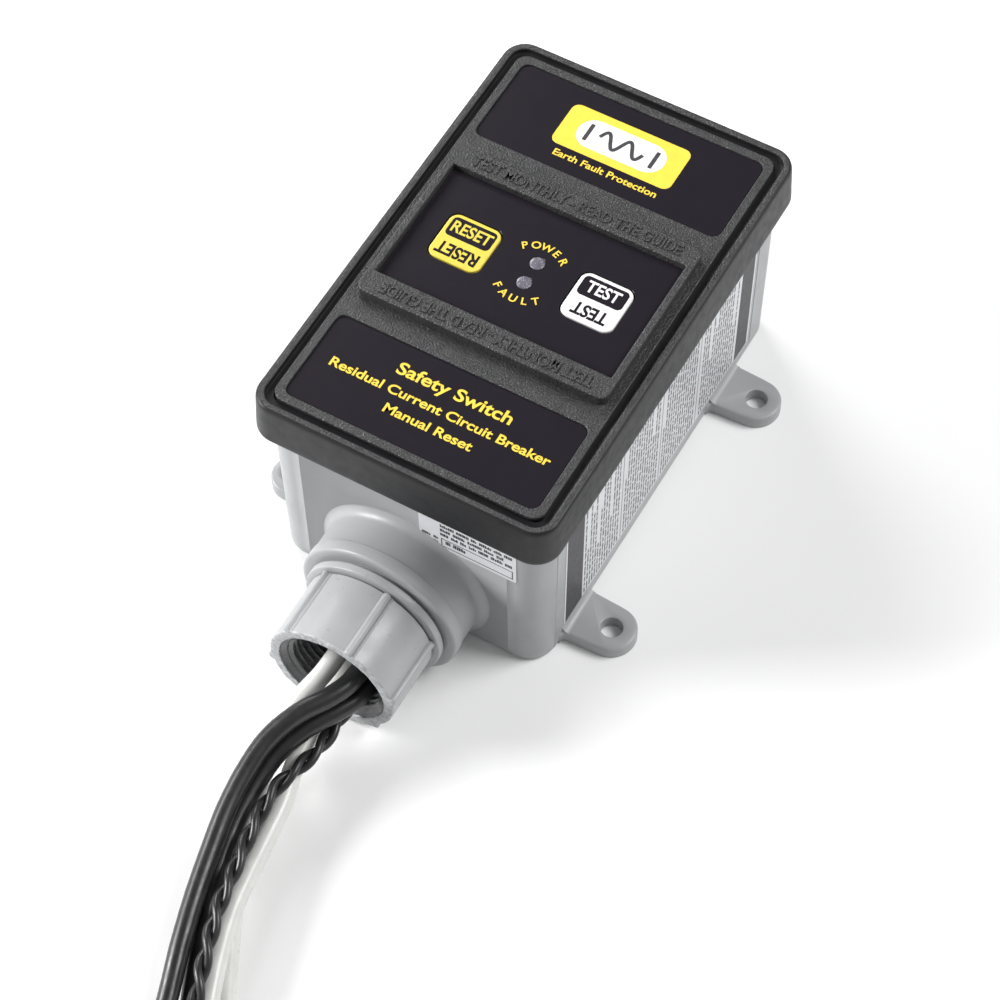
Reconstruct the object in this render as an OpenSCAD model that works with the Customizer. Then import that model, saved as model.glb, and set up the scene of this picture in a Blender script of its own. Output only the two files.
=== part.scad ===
// Hard-wired residual current device in a moulded surface box.
// The device lies on its back: +Z points out of the front cover, +X to the right and the
// conduit hub points along -Y. The origin is the middle of the four foot holes, on the back plane.

/* [Rear box] */
// Width of the box walls
box_w = 78.2; // [76:0.2:80]
// Length of the box walls
box_l = 127; // [125:0.5:129]
// Height of the box rim above the back plane
box_h = 60; // [60:0.5:61]
// Radius of the upright corners
box_r = 7.5; // [6.5:0.5:8.5]
// Thickness of the side walls
wall = 3.2; // [2.8:0.1:3.2]
// Thickness of the back wall
floor_t = 3.5; // [3:0.5:4]
// How far the box centre lies ahead of the foot-hole centre
box_shift = 5.4; // [5:0.1:6]

/* [Mounting feet] */
// How far the foot-hole centre lies to the right of the box centre
foot_shift = 2; // [0:0.5:3]
// Foot-hole spacing across the box
foot_dx = 94; // [92:0.5:96]
// Foot-hole spacing along the box
foot_dy = 80; // [76:1:84]
// Radius of a foot hole
foot_hole_r = 2.85; // [2:0.05:3.2]
// Radius of a foot's round end
foot_r = 6.6; // [6:0.1:7]
// Radius of the left feet's round ends
left_foot_r = 6; // [5.5:0.1:6.6]
// Thickness of a foot
foot_t = 4.1; // [3.5:0.1:5]

/* [Conduit hub] */
// Height of the hub axis above the back plane
hub_z = 18.3; // [18:0.1:19]
// Radius of the moulded boss
boss_r = 22; // [21.5:0.1:22]
// Length of the boss from the box wall
boss_len = 13.2; // [12:0.2:14]
// Fillet where the boss meets the wall
boss_fillet = 2.5; // [2:0.5:5]
// Radius of the adapter's flange
flange_r = 19; // [18.6:0.1:19.2]
// Thickness of the adapter's flange
flange_t = 3.1; // [2.5:0.1:3.5]
// Outer radius of the adapter body
adapter_r = 17.5; // [17.2:0.1:17.8]
// Length of the adapter body in front of the flange
adapter_len = 19.6; // [19:0.2:20]
// Thread crest radius
thread_r = 12.4; // [12.2:0.1:12.6]
// Thread pitch
thread_pitch = 1.8; // [1.6:0.1:2]
// Radius of the throat behind the thread
throat_r = 11.5; // [11.5:0.1:12]
// Number of ribs around the adapter
rib_count = 6; // [4:1:8]

/* [Cover] */
// Width of the cover across its top edge
cover_w = 82.5; // [82:0.5:83]
// Length of the cover along its top edge
cover_l = 131.5; // [131:0.5:132]
// How far the skirt flares out on each side
flare = 0.65; // [0.4:0.05:0.8]
// Height of the cover's top face
cover_z = 66.5; // [66:0.5:67]
// Height of the cover's skirt
skirt_h = 12.5; // [11:0.5:13]
// Thickness of the cover's top plate
plate_t = 3; // [2.8:0.1:3]
// How far the frame around the controls stands above the top face
frame_h = 2.9; // [2:0.1:3.2]
// Size of the window in the frame
window = [65.8, 38.4]; // [30:0.1:70]

/* [Controls] */
// Distance of each key's centre from the middle
key_x = 18.6; // [16:0.1:20]
// Side length of a key
key_side = 14.5; // [12:0.5:15]
// Travel of a key
key_travel = 0.8; // [0.5:0.1:0.8]
// Gap around a key
key_gap = 0.4; // [0.3:0.05:0.5]
// Radius of an indicator lens
lens_r = 2; // [1.5:0.1:2.2]
// Distance between the two indicators
lens_gap = 6.7; // [6:0.1:8]

/* [Relay] */
// Angle by which the armature stands open at rest
open_deg = 6; // [4:0.5:6]
// Radius of the armature's pivot roll
pivot_r = 0.8; // [0.6:0.05:0.9]

/* [Leads] */
// Diameter of a power lead
lead_d = 5.2; // [4.8:0.1:5.2]
// Diameter round the thin twisted pair
pair_d = 4.3; // [3.8:0.1:4.3]
// Length of the stripped end of a lead
strip = 10; // [6:1:14]

/* [Hidden] */
$fn = 48;

front_y = box_shift - box_l / 2;
boss_y = front_y - boss_len;
mouth_y = boss_y - flange_t - adapter_len;
seal_front_y = -70;
seal_back_y = -62;

skirt_z = cover_z - skirt_h;
gasket_t = 1.2;
plate_z = cover_z - plate_t;
window_z = cover_z + 0.4;
overlay_t = 0.5;
overlay_z = window_z + overlay_t;
label_t = 0.3;

board_t = 1.6;
board_z = skirt_z;
board_top = board_z + board_t;
board = [69, 100];
post_at = [29, 45];
column_at = [31.5, 56];
column_r = 4.5;
column_top = box_h - 2;

key_y = box_shift + 0.2;
cap_top = overlay_z + 0.1;
flange_z = plate_z - 0.4 - 1.5;
switch_top = board_top + 3.5;
plunger_top = switch_top + 1.1;

core_at = [0, -22];
core_r = [7.5, 14.5];
core_h = 11.5;
clamp_z = 28.3;
clamp_t = 1.5;
neutral_z = clamp_z + clamp_t + core_h;

relay_y = 26;
yoke_z = board_z - 5;
bobbin_z = 29;
pole_z = 27.5;
armature_top = 27.2;
armature_t = 2;
pivot_v = 12.75;
contact_x = 7;
contact_v = -15.5;
spring_v = 17;
tab_z = 45.5;

// Lead routes, from the seal in the hub to the stripped ends
black_route_a = [[4.5, -70, 22], [5.7, -78, 22.5], [6.4, -86, 22.5], [5.8, -94, 22], [3.4, -100, 21.8],
    [-1, -107, 21], [-4.5, -115, 18.5], [-5.5, -124, 16], [-5, -134, 13.5], [-3, -145, 11.2],
    [-0.5, -156, 9.5], [3, -168, 8], [7, -180, 6], [11, -193, 4], [14.5, -206, 3], [18, -219, 2.6],
    [21, -232, 2.6]];
black_route_b = [[6.5, -70, 16], [7.8, -78, 16], [8.4, -86, 16], [7.6, -94, 16], [5, -100, 15.9],
    [0.8, -107, 15], [-2.5, -115, 12.8], [-3.5, -124, 10.2], [-3, -134, 8], [-1, -145, 6],
    [2.2, -156, 4.3], [7, -168, 3.2], [12.5, -180, 2.6], [17.5, -193, 2.6], [21.5, -206, 2.6],
    [25, -219, 2.6], [28, -232, 2.6]];
white_route_a = [[-2, -70, 23], [-1.2, -78, 23.2], [-0.8, -86, 22.7], [-1.7, -94, 20.5], [-4, -100, 16.8],
    [-6, -107, 11.5], [-5.8, -115, 6.8], [-4, -124, 3.6], [-1.2, -134, 2.6], [3.5, -145, 2.6],
    [9, -156, 2.6], [15.5, -168, 2.6], [22, -180, 2.6], [28.5, -193, 2.6], [33.5, -206, 2.6],
    [37, -219, 2.6], [40, -232, 2.6]];
white_route_b = [[-0.5, -70, 13], [0, -78, 12.5], [0, -86, 12], [0, -94, 11.5], [0, -100, 10.8],
    [0.5, -107, 9.5], [1.5, -115, 8], [3.8, -124, 7], [5.3, -134, 7], [7, -145, 7.8],
    [9.2, -156, 8.3], [13, -168, 8], [17.6, -180, 6.2], [22.9, -193, 4.3], [27, -206, 3],
    [31, -219, 2.6], [34, -232, 2.6]];
pair_route = [[4.8, -70, 10.5], [5, -78, 10.3], [5, -86, 10.3], [5, -94, 10.4], [5, -100, 10.6],
    [5.2, -107, 11.2], [4.2, -115, 12.3], [2, -124, 12.3], [2.5, -134, 11.8], [4.5, -145, 12],
    [6.8, -156, 12.6], [10.6, -168, 12.4], [15, -180, 10.6], [20.2, -193, 8.6], [24.8, -206, 7.6],
    [29, -219, 7.4], [32.6, -232, 7.4]];

// Wires inside the box, from the back of the seal to the terminals and the board
black_tail_a = [[4.5, -62, 22], [4.5, -59, 22], [6, -54.5, 23], [9, -50.5, 27.5], [10.5, -49.5, 34],
    [10.5, -49.5, 42], [10.5, -49, 47.5], [10.5, -47, 50], [10.5, -44.1, 50]];
black_tail_b = [[6.5, -62, 16], [6.5, -59, 16], [6, -50, 15], [4.5, -38, 14], [3.4, -28, 16],
    [2.7, -22.5, 22], [2.7, -22, 30], [2.7, -22, 54]];
white_tail_a = [[-2, -62, 23], [-2, -59, 23], [-4.5, -54.5, 24], [-9, -50.5, 28], [-10.5, -49.5, 34],
    [-10.5, -49.5, 42], [-10.5, -49, 47.5], [-10.5, -47, 50], [-10.5, -44.1, 50]];
white_tail_b = [[-0.5, -62, 13], [-0.5, -59, 13], [-2, -50, 12], [-3, -38, 12], [-3.4, -28, 15],
    [-2.7, -22.5, 22], [-2.7, -22, 30], [-2.7, -22, 54]];
pair_tail = [[4.8, -62, 10.5], [4.8, -59, 10.5], [5, -54, 10.3], [9, -48.5, 9.5], [16, -45.5, 11],
    [22.5, -41, 17], [24.7, -36, 28], [25, -32.4, 40], [25, -32, 47], [25, -32, 54]];

function unit(v) = v / norm(v);

// Ring of points round path[i], square to the path there; aside is any direction off the path
function ring(path, i, r, sides, aside) =
    let (last = len(path) - 1, t = unit(path[min(i + 1, last)] - path[max(i - 1, 0)]),
        a = unit(cross(t, aside)), b = cross(a, t))
    [for (k = [0 : sides - 1]) path[i] + r * (a * cos(360 * k / sides) + b * sin(360 * k / sides))];

// Closed tube swept along a path, with a radius for each point of the path
module tube(path, radii, sides, aside = [0, 0, 1]) {
    last = len(path) - 1;
    points = [for (i = [0 : last]) each ring(path, i, radii[i], sides, aside)];
    walls = [for (i = [0 : last - 1], k = [0 : sides - 1])
        let (a = i * sides, b = a + sides, m = (k + 1) % sides)
        each [[a + k, b + k, b + m], [a + k, b + m, a + m]]];
    ends = [[for (k = [0 : sides - 1]) k], [for (k = [sides - 1 : -1 : 0]) last * sides + k]];
    polyhedron(points, concat(walls, ends), convexity = 6);
}

// Insulated lead whose stripped conductor sticks out of its far end
module lead(route, d, core_d, sides) {
    end = route[len(route) - 1];
    tip = end + strip * unit(end - route[len(route) - 2]);
    radii = concat([for (p = route) d / 2], [core_d / 2, core_d / 2]);
    tube(concat(route, [end, tip]), radii, sides);
}

module plain_tube(path, d, sides, aside = [1, 0, 0])
    tube(path, [for (p = path) d / 2], sides, aside);

module coil(r, wire, z0, z1, turns) {
    steps = turns * 12;
    rise = z1 - z0 - wire;
    path = [for (i = [0 : steps])
        [r * cos(30 * i), r * sin(30 * i), z0 + wire / 2 + rise * i / steps]];
    plain_tube(path, wire, 6, [0, 0, 1]);
}

module rounded(size, r) {
    square([size.x - 2 * r, size.y], center = true);
    square([size.x, size.y - 2 * r], center = true);
    for (x = [-1, 1], y = [-1, 1])
        translate([x * (size.x / 2 - r), y * (size.y / 2 - r)]) circle(r);
}

module slab(size, r, h) linear_extrude(h) rounded(size, r);
module at_box(z = 0) translate([0, box_shift, z]) children();
module at_corners(p) for (x = [-1, 1], y = [-1, 1]) at_box() translate([x * p.x, y * p.y, 0]) children();
module at_feet() for (x = [-1, 1], y = [-1, 1])
    translate([foot_shift + x * foot_dx / 2, y * foot_dy / 2, 0]) children();
module on_hub(y) translate([0, y, hub_z]) rotate([90, 0, 0]) children();
module at_key(side) translate([side * key_x, key_y, 0]) children();
module at_lens(side) translate([0, key_y + side * lens_gap / 2, 0]) children();
module at_core() translate([core_at.x, core_at.y, 0]) children();
module at_relay() translate([0, relay_y, 0]) children();
module below_back() translate([-60, mouth_y - 20, -30]) cube([120, 200, 30]);

module foot(r) {
    translate([-14, -r, 0]) cube([14, 2 * r, foot_t]);
    cylinder(h = foot_t, r = r);
}

module feet() for (x = [-1, 1], y = [-1, 1])
    translate([foot_shift + x * foot_dx / 2, y * foot_dy / 2, 0])
        mirror([x < 0 ? 1 : 0, 0, 0]) foot(x < 0 ? left_foot_r : foot_r);

module boss() on_hub(front_y + 1) {
    rim = 1;
    rotate_extrude() {
        square([boss_r, boss_len + 1 - rim]);
        square([boss_r - rim, boss_len + 1]);
        translate([boss_r - rim, boss_len + 1 - rim]) circle(rim);
        difference() {
            square([boss_r + boss_fillet, 1 + boss_fillet]);
            translate([boss_r + boss_fillet, 1 + boss_fillet]) circle(boss_fillet);
        }
    }
}

module seam(at, size) translate(at) cube(size, center = true);

module rear_box() color("silver") difference() {
    union() {
        difference() {
            union() {
                at_box() slab([box_w, box_l], box_r, box_h);
                boss();
            }
            at_box(floor_t) slab([box_w - 2 * wall, box_l - 2 * wall], box_r - wall, box_h);
        }
        at_corners(column_at) cylinder(h = column_top, r = column_r);
        feet();
    }
    below_back();
    on_hub(boss_y + 12.5) cylinder(h = 13, r = 15.6);
    on_hub(front_y + wall + 1) cylinder(h = 6, r = 12);
    at_feet() translate([0, 0, -1]) cylinder(h = foot_t + 2, r = foot_hole_r);
    at_corners(column_at) translate([0, 0, -1]) cylinder(h = 4.8, r = 3.6);
    at_corners(column_at) cylinder(h = box_h, r = 1.9);
    for (x = [-1, 1], y = [-1, 1]) {
        seam([x * 29.1, box_shift + y * box_l / 2, 30], [0.3, 0.6, 70]);
        seam([x * box_w / 2, box_shift + y * 55.2, 30], [0.6, 0.3, 70]);
    }
}

module conduit_hub() color("silver") difference() {
    union() {
        on_hub(boss_y + 12.3) rotate_extrude() {
            square([15.5, 12.3]);
            translate([0, 12.3]) square([flange_r, flange_t]);
            translate([0, 12.3 + flange_t]) square([adapter_r, adapter_len]);
        }
        for (k = [0 : rib_count - 1]) on_hub(boss_y - flange_t)
            rotate([0, 0, 11 + 360 * k / rib_count]) translate([16, -1.4, 0]) cube([2.5, 2.8, adapter_len]);
    }
    below_back();
    on_hub(boss_y + 13) rotate_extrude() {
        square([throat_r, 40]);
        translate([0, 20]) square([thread_r, 20]);
        for (k = [0 : 7]) translate([0, 21.2 + k * thread_pitch]) square([thread_r + 0.9, 0.9]);
        translate([0, 35.4]) square([thread_r + 0.9, 2]);
    }
    on_hub(mouth_y + 1.9) cylinder(h = 2, r1 = thread_r + 0.9, r2 = 14.9);
}

module lead_seal() color("dimgray") on_hub(seal_back_y)
    cylinder(h = seal_back_y - seal_front_y, r = throat_r);

module lid_gasket() color("black") at_box(box_h) difference() {
    slab([box_w, box_l], box_r, gasket_t);
    translate([0, 0, -1]) slab([72, 121], 4.4, gasket_t + 2);
}

module key_hole() translate([0, 0, plate_z - 1])
    slab([key_side + 2 * key_gap, key_side + 2 * key_gap], 3, 10);

module cover() color("#222222") difference() {
    union() {
        difference() {
            union() {
                at_box(skirt_z) slab([cover_w + 2 * flare, cover_l + 2 * flare], 7, skirt_h - 0.8);
                at_box(skirt_z) slab([cover_w, cover_l], 6.3, skirt_h);
            }
            at_box(skirt_z - 1)
                slab([box_w + 0.6, box_l + 0.6], box_r + 0.3, box_h + gasket_t - skirt_z + 1);
            at_box(box_h) slab([72, 121], 4.4, plate_z - box_h);
        }
        at_box(cover_z) slab([69.6, 51.6], 2.5, frame_h);
        at_corners(post_at) translate([0, 0, board_top]) cylinder(h = plate_z - board_top, r = 3.5);
        at_corners(column_at) translate([0, 0, column_top + 0.2])
            cylinder(h = plate_z - column_top, r = 4.3);
    }
    at_box(cover_z - 1.5) difference() {
        slab([78.4, 127.4], 5, 3);
        translate([0, 0, -1]) slab([74.2, 123.3], 3.5, 5);
    }
    for (y = [-1, 1]) at_box(cover_z - 0.7) translate([0, y * 45.85, 0]) slab([69.8, 26.9], 2.5, 3);
    at_box(window_z) slab(window, 0.4, 5);
    for (side = [-1, 1]) {
        at_key(side) key_hole();
        at_lens(side) translate([0, 0, plate_z - 1]) cylinder(h = 10, r = lens_r + 0.05);
    }
    at_corners(post_at) translate([0, 0, board_top - 1]) cylinder(h = 7.4, r = 1.3);
    at_corners(column_at) translate([0, 0, column_top]) cylinder(h = 4.4, r = 2.5);
}

module label_plate(y) color("#1c1a1e") at_box(cover_z - 0.7) translate([0, y, 0])
    slab([69.4, 26.5], 2.3, label_t);
module upper_label() label_plate(45.85);
module lower_label() label_plate(-45.85);

module control_overlay() color("#1c1a1e") difference() {
    at_box(window_z) slab([window.x - 0.3, window.y - 0.3], 0.4, overlay_t);
    for (side = [-1, 1]) {
        at_key(side) key_hole();
        at_lens(side) translate([0, 0, plate_z]) cylinder(h = 10, r = lens_r + 0.05);
    }
}

module side_label() color("white") translate([box_w / 2, -46.2, 5.5]) cube([0.2, 100.6, 46.5]);

module front_label() color("white") difference() {
    translate([5, front_y - 0.2, 37.6]) cube([26.7, 0.2, 16]);
    on_hub(front_y + 1) cylinder(h = 3, r = boss_r + boss_fillet);
}

module cover_inserts() color("gold") at_corners(column_at) translate([0, 0, column_top + 0.2]) difference() {
    cylinder(h = 4.2, r = 2.5);
    translate([0, 0, -1]) cylinder(h = 7, r = 1.65);
}

module cover_screws() color("gray") at_corners(column_at) translate([0, 0, 0.8]) difference() {
    union() {
        cylinder(h = 3, r = 3.3);
        cylinder(h = 61, r = 1.6);
    }
    for (turn = [0, 90]) rotate([0, 0, turn]) cube([3.6, 0.8, 3], center = true);
}

module circuit_board() color("darkgreen") difference() {
    at_box(board_z) slab(board, 2, board_t);
    at_corners(post_at) cylinder(h = 100, r = 1.6);
}

module board_screws() color("gray") at_corners(post_at) {
    translate([0, 0, board_z - 2.2]) cylinder(h = 2.2, r = 2.8);
    translate([0, 0, board_z - 1]) cylinder(h = 8, r = 1.25);
}

module key(side) at_key(side) {
    translate([0, 0, flange_z]) slab([17.5, 17.5], 2, 1.5);
    translate([0, 0, flange_z]) slab([key_side, key_side], 2.6, cap_top - flange_z);
    translate([0, 0, plunger_top]) cylinder(h = flange_z - plunger_top + 0.5, r = 2);
}
module reset_key() color("gold") key(-1);
module test_key() color("white") key(1);

module key_spring(side) at_key(side) coil(5.2, 0.5, board_top, flange_z - 0.1, 4);
module reset_spring() color("silver") key_spring(-1);
module test_spring() color("silver") key_spring(1);

module switch_body(side) at_key(side) difference() {
    translate([-3, -3, board_top]) cube([6, 6, 3.5]);
    translate([0, 0, switch_top - 2.2]) cylinder(h = 5, r = 1.8);
}
module reset_switch() color("dimgray") switch_body(-1);
module test_switch() color("dimgray") switch_body(1);

module plunger(side) at_key(side) translate([0, 0, switch_top - 0.9])
    cylinder(h = plunger_top - switch_top + 0.9, r = 1.7);
module reset_plunger() color("firebrick") plunger(-1);
module test_plunger() color("firebrick") plunger(1);

module lens(side) at_lens(side) {
    translate([0, 0, plate_z - 2.5]) cylinder(h = overlay_z - plate_z + 2.5, r = lens_r);
    translate([0, 0, plate_z - 1.2]) cylinder(h = 1.2, r = lens_r + 0.8);
}
module power_lens() color("slategray") lens(1);
module fault_lens() color("slategray") lens(-1);

module led(side) at_lens(side) translate([0, 0, board_top]) {
    cylinder(h = 1, r = 1.9);
    cylinder(h = 3.4, r = 1.5);
    translate([0, 0, 3.4]) sphere(1.5);
}
module power_led() color("lime") led(1);
module fault_led() color("red") led(-1);

module core_ring(z) at_core() translate([0, 0, z]) difference() {
    cylinder(h = core_h - 3, r = core_r[1] - 1.5);
    translate([0, 0, -1]) cylinder(h = core_h, r = core_r[0] + 1.5);
}
module core_wrap(z) at_core() translate([0, 0, z]) difference() {
    cylinder(h = core_h, r = core_r[1]);
    translate([0, 0, -1]) cylinder(h = core_h + 2, r = core_r[0]);
    translate([0, 0, 1.5]) difference() {
        cylinder(h = core_h - 3, r = core_r[1] - 1.5);
        translate([0, 0, -1]) cylinder(h = core_h, r = core_r[0] + 1.5);
    }
}
module sense_core() color("dimgray") core_ring(neutral_z - core_h + 1.5);
module sense_winding() color("orange") core_wrap(neutral_z - core_h);
module neutral_core() color("dimgray") core_ring(neutral_z + 1.5);
module neutral_winding() color("orange") core_wrap(neutral_z);

module core_clamp() color("ivory") at_core() {
    translate([0, 0, clamp_z]) difference() {
        union() {
            cylinder(h = clamp_t, r = 15.5);
            translate([-18.5, -3, 0]) cube([37, 6, clamp_t]);
        }
        translate([0, 0, -1]) cylinder(h = 5, r = core_r[0]);
    }
    for (x = [-1, 1]) translate([x * 17, 0, clamp_z]) cylinder(h = board_z - clamp_z, r = 1.5);
}

module relay_base() color("#333333") at_relay() translate([-17, -17.5, board_z - 2.5]) cube([34, 37.5, 2.5]);

module relay_bobbin() color("ivory") at_relay() translate([0, 0, bobbin_z]) difference() {
    union() {
        cylinder(h = 1.2, r = 11);
        cylinder(h = yoke_z - bobbin_z, r = 5);
        translate([0, 0, yoke_z - bobbin_z - 1.2]) cylinder(h = 1.2, r = 11);
    }
    translate([0, 0, -1]) cylinder(h = 40, r = 4);
}

module relay_winding() color("chocolate") at_relay() translate([0, 0, bobbin_z + 1.2]) difference() {
    cylinder(h = yoke_z - bobbin_z - 2.4, r = 10.2);
    translate([0, 0, -1]) cylinder(h = 40, r = 5);
}

module relay_core() color("gray") at_relay() {
    translate([0, 0, pole_z]) cylinder(h = bobbin_z - pole_z, r = 6.5);
    translate([0, 0, pole_z]) cylinder(h = board_z - 2.5 - pole_z, r = 4);
}

module relay_yoke() color("gray") at_relay() {
    difference() {
        translate([-9, -10, yoke_z]) cube([18, 24, 2.5]);
        cylinder(h = 100, r = 4);
    }
    difference() {
        translate([-9, 11.5, pole_z + 0.2]) cube([18, 2.5, yoke_z - pole_z]);
        pivot(pivot_r + 0.08, 20);
    }
    translate([-3, 13, tab_z]) cube([6, 6.5, 2]);
}

module opened() translate([0, relay_y + pivot_v, armature_top]) rotate([open_deg, 0, 0])
    translate([0, -pivot_v, -armature_top]) children();

module pivot(r, length) translate([-length / 2, pivot_v, armature_top]) rotate([0, 90, 0])
    cylinder(h = length, r = r);

module relay_armature() color("silver") opened() {
    pivot(pivot_r, 18);
    translate([-9, -8, armature_top - armature_t]) cube([18, 22.5, armature_t]);
    translate([-3, 14, armature_top - armature_t]) cube([6, 5.5, armature_t]);
}

module contact_carrier() color("ivory") opened()
    translate([-11, -14, armature_top - armature_t - 2]) cube([22, 18, 2]);

module moving_contacts() color("peru") opened() for (x = [-contact_x, contact_x]) {
    translate([x - 3, contact_v - 3, armature_top - armature_t]) cube([6, 10.3, 0.7]);
    translate([x, contact_v, armature_top - armature_t]) cylinder(h = 1.7, r = 2.2);
}

module fixed_contacts() color("peru") at_relay() for (x = [-contact_x, contact_x]) {
    translate([x, contact_v, armature_top]) cylinder(h = 1.2, r = 2.2);
    translate([x - 3, contact_v - 3.5, armature_top + 1]) cube([6, 6, 1.2]);
    translate([x - 3, contact_v - 3.5, armature_top + 1]) cube([6, 1.2, board_z - armature_top - 1]);
}

module armature_spring() color("silver") at_relay() translate([0, spring_v, 0])
    coil(1.8, 0.4, armature_top + 0.8, tab_z, 9);

module varistor() color("royalblue") translate([25, -4, 45.5]) {
    rotate([0, 90, 0]) cylinder(h = 4.5, r = 7.5, center = true);
    for (y = [-3.5, 3.5]) translate([0, y, 4]) cylinder(h = board_z - 49.5, r = 0.5);
}

module film_capacitor() color("khaki") translate([-31, 8, board_z - 17]) cube([9, 24, 17]);

module storage_capacitors() color("#222244") for (y = [12, 25])
    translate([26, y, board_z - 16]) cylinder(h = 16, r = 5);

module control_chip() color("#222222") translate([-2, -25, board_top]) {
    translate([0, 0, 0.3]) cube([4, 9, 1.5]);
    for (k = [0 : 6]) translate([-1, 0.6 + k * 1.27, 0]) cube([6, 0.4, 0.5]);
}

module dropper_resistors() color("tan") for (y = [-33, -38]) translate([0, y, board_top]) {
    translate([-5, 0, 2.2]) rotate([0, 90, 0]) cylinder(h = 10, r = 2);
    for (x = [-4, 4]) translate([x, 0, 0]) cylinder(h = 2, r = 0.4);
}

module rectifier_diodes() color("#222222") for (k = [0 : 3]) translate([-9 + 6 * k, 34, board_top]) {
    translate([0, -2.5, 1.4]) rotate([-90, 0, 0]) cylinder(h = 5, r = 1.3);
    for (y = [-2, 2]) translate([0, y, 0]) cylinder(h = 1, r = 0.4);
}

module terminal_blocks() color("gold") for (x = [-10.5, 10.5])
    translate([x - 4.5, -44, board_z - 8]) cube([9, 8, 8]);

module inner_black_wires() color("#222222") {
    plain_tube(black_tail_a, lead_d, 10);
    plain_tube(black_tail_b, lead_d, 10);
}
module inner_white_wires() color("white") {
    plain_tube(white_tail_a, lead_d, 10);
    plain_tube(white_tail_b, lead_d, 10);
}
module inner_pair() color("#222222") plain_tube(pair_tail, pair_d, 8);

module black_lead_a() color("#222222") lead(black_route_a, lead_d, 3, 10);
module black_lead_b() color("#222222") lead(black_route_b, lead_d, 3, 10);
module white_lead_a() color("white") lead(white_route_a, lead_d, 3, 10);
module white_lead_b() color("white") lead(white_route_b, lead_d, 3, 10);
module thin_pair() color("#222222") lead(pair_route, pair_d, 2, 8);

rear_box();
conduit_hub();
lead_seal();
lid_gasket();
cover();
upper_label();
lower_label();
control_overlay();
side_label();
front_label();
cover_inserts();
cover_screws();
circuit_board();
board_screws();
reset_key();
test_key();
reset_spring();
test_spring();
reset_switch();
test_switch();
reset_plunger();
test_plunger();
power_lens();
fault_lens();
power_led();
fault_led();
sense_core();
sense_winding();
neutral_core();
neutral_winding();
core_clamp();
relay_base();
relay_bobbin();
relay_winding();
relay_core();
relay_yoke();
relay_armature();
contact_carrier();
moving_contacts();
fixed_contacts();
armature_spring();
varistor();
film_capacitor();
storage_capacitors();
control_chip();
dropper_resistors();
rectifier_diodes();
terminal_blocks();
inner_black_wires();
inner_white_wires();
inner_pair();
black_lead_a();
black_lead_b();
white_lead_a();
white_lead_b();
thin_pair();
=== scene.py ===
import math
import random
import bpy
from mathutils import Matrix, Vector, noise
from mathutils.geometry import tessellate_polygon


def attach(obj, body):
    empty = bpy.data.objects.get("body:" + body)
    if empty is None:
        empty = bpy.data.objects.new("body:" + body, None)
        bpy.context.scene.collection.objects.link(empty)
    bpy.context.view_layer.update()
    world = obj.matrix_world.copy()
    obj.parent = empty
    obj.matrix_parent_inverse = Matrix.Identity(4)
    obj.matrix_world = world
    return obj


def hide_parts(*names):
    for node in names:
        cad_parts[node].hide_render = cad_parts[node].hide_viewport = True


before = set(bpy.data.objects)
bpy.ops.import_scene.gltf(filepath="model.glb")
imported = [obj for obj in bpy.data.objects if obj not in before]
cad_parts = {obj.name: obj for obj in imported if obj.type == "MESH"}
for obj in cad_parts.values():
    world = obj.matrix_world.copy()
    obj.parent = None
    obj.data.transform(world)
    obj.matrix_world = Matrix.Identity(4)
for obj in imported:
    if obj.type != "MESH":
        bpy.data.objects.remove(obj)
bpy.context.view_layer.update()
MM = 0.001
ROOT = "enclosure"
random.seed(7)

# ---------------------------------------------------------------- camera
cam_data = bpy.data.cameras.new("camera")
cam_data.sensor_width = 36
cam_data.lens = 110.22
cam = bpy.data.objects.new("camera", cam_data)
bpy.context.scene.collection.objects.link(cam)
bpy.context.scene.camera = cam
c_right = Vector((0.86913482, 0.49449609, -0.00884718)).normalized()
c_back = Vector((0.27362821, -0.4658785, 0.84147776)).normalized()
c_up = c_back.cross(c_right)
cam.matrix_world = (Matrix.Translation((0.22220, -0.38936, 0.66994))
                    @ Matrix((c_right, c_up, c_back)).transposed().to_4x4())


# ---------------------------------------------------------------- mesh helpers, in millimetres
def add(name, verts, faces, mats, smooth=40, index=None, body=ROOT, replaces=(), slot=None):
    me = bpy.data.meshes.new(name)
    me.from_pydata([(v[0] * MM, v[1] * MM, v[2] * MM) for v in verts], [], faces)
    mats = mats if isinstance(mats, (list, tuple)) else [mats]
    for m in mats:
        me.materials.append(m)
    if index:
        me.polygons.foreach_set("material_index", index)
    me.validate()
    if smooth:
        me.shade_smooth()
        me.set_sharp_from_angle(angle=math.radians(smooth))
    o = bpy.data.objects.new(name, me)
    bpy.context.scene.collection.objects.link(o)
    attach(o, body)
    for r in replaces:
        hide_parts(r)
    return o


class Shape:
    """Vertices and faces gathered from several closed forms."""
    def __init__(self):
        self.v, self.f, self.m = [], [], []

    def put(self, verts, faces, m=0):
        n = len(self.v)
        self.v += [tuple(p) for p in verts]
        self.f += [tuple(i + n for i in f) for f in faces]
        self.m += [m] * len(faces)
        return self

    def moved(self, fn):
        self.v = [tuple(fn(Vector(p))) for p in self.v]
        return self

    def make(self, name, mats, **kw):
        return add(name, self.v, self.f, mats, index=self.m, **kw)


def rrect(hx, hy, r, n=8, at=(0, 0)):
    """Outline of a rounded rectangle, anticlockwise."""
    r = max(min(r, hx, hy), 0.02)
    out = []
    for cx, cy, a0 in ((hx - r, hy - r, 0), (r - hx, hy - r, 90), (r - hx, r - hy, 180), (hx - r, r - hy, 270)):
        for k in range(n + 1):
            a = math.radians(a0 + 90 * k / n)
            out.append((at[0] + cx + r * math.cos(a), at[1] + cy + r * math.sin(a)))
    return out


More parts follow.
